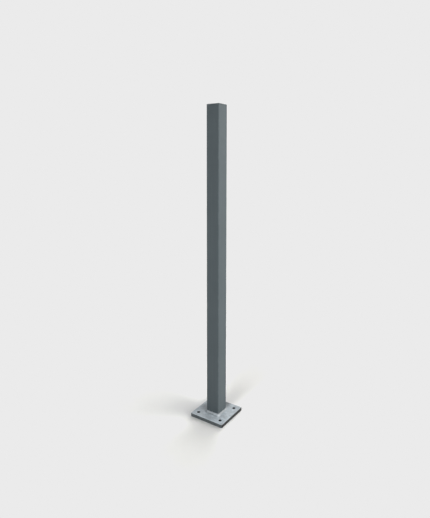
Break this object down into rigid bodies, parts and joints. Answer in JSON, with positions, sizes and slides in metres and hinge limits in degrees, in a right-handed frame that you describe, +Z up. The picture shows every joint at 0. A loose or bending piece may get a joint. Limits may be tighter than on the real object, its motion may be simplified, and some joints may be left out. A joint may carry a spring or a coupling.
{
  "type": "flanged square bollard post",
  "caption": "Slender square steel post, capped at the top and fillet-welded upright on a square base plate with corner anchor holes.",
  "frame": {"origin": "centre of the base plate's underside", "axes": "+Z up along the post, -Y out of its front face, +X out of its right face; all four sides are alike"},
  "size_m": [0.13, 0.13, 1.08],
  "materials": {
    "post_coating": "smooth dull dark grey coating on steel",
    "plate_zinc": "hot-dip galvanised, mottled and lightly streaked, dull on the cut edges",
    "weld_zinc": "rippled weld metal under a zinc coat"
  },
  "bodies": {
    "root": {"base_plate": "plate_zinc", "post_tube": "post_coating", "top_cap": "post_coating", "cap_weld": "post_coating", "foot_weld_front": "weld_zinc", "foot_weld_right": "weld_zinc", "foot_weld_back": "weld_zinc", "foot_weld_left": "weld_zinc"}
  },
  "joints": []
}
